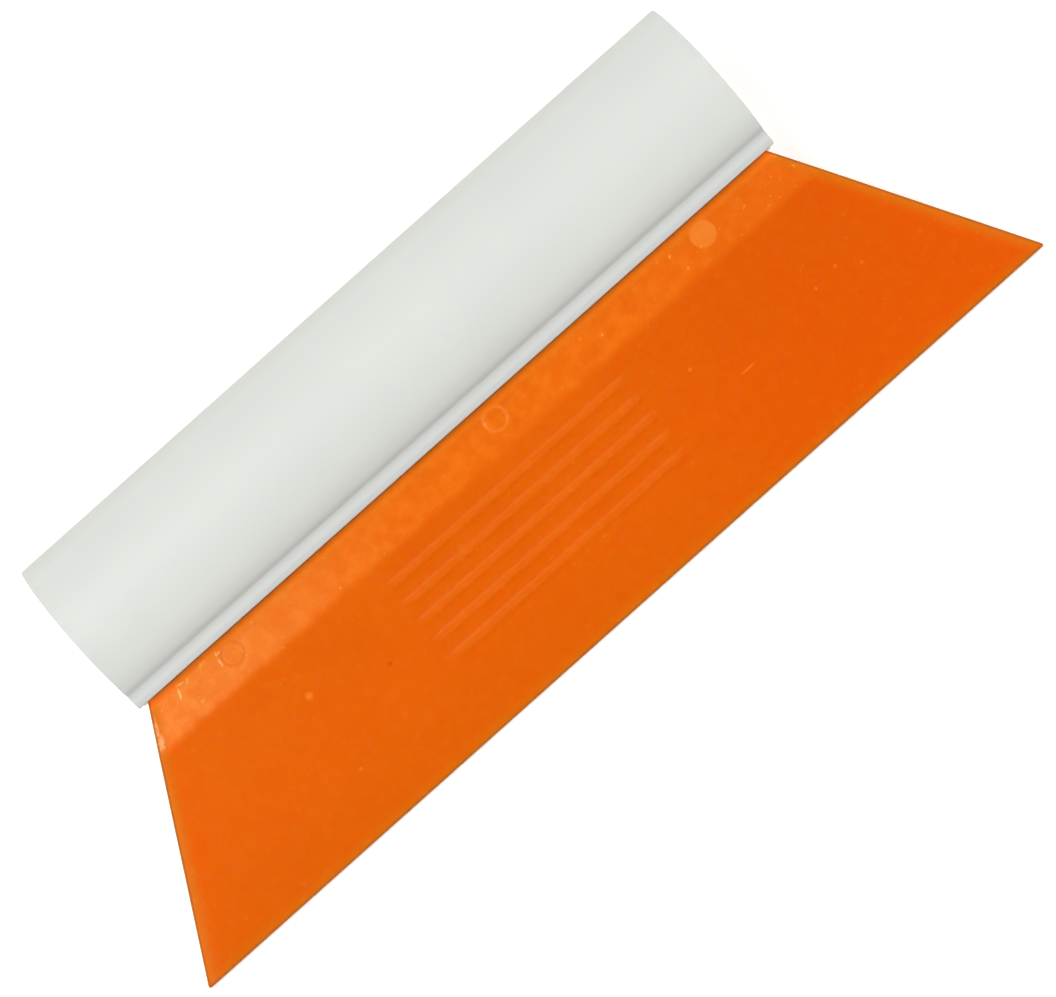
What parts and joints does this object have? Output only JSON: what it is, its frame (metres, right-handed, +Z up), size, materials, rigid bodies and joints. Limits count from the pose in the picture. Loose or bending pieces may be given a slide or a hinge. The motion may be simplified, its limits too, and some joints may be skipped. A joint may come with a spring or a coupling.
{
  "type": "tube-handled film squeegee",
  "caption": "Hand squeegee for laying film: a hollow extruded tube handle with a lipped slot that grips a flexible, flared blade tapering to a thin straight edge.",
  "frame": {"origin": "on the level surface that the tool lies on, under the middle of its bounding box", "axes": "+X along the handle, +Y level from the blade's edge towards the handle's back, +Z up. The tool lies on the handle's belly and the blade's edge, so its own flat plane leans 11.34 degrees about X, edge down."},
  "size_m": [0.1852, 0.0712, 0.0234],
  "materials": {
    "handle_plastic": "satin off-white extruded plastic",
    "blade_urethane": "smooth semi-gloss orange moulded urethane"
  },
  "bodies": {
    "handle": {"handle_tube": "handle_plastic"},
    "blade": {"blade": "blade_urethane"}
  },
  "joints": [
    {"name": "blade_slide", "type": "slide", "parent": "handle", "child": "blade", "axis": [1, 0, 0], "range_m": [-0.145, 0.145]}
  ]
}
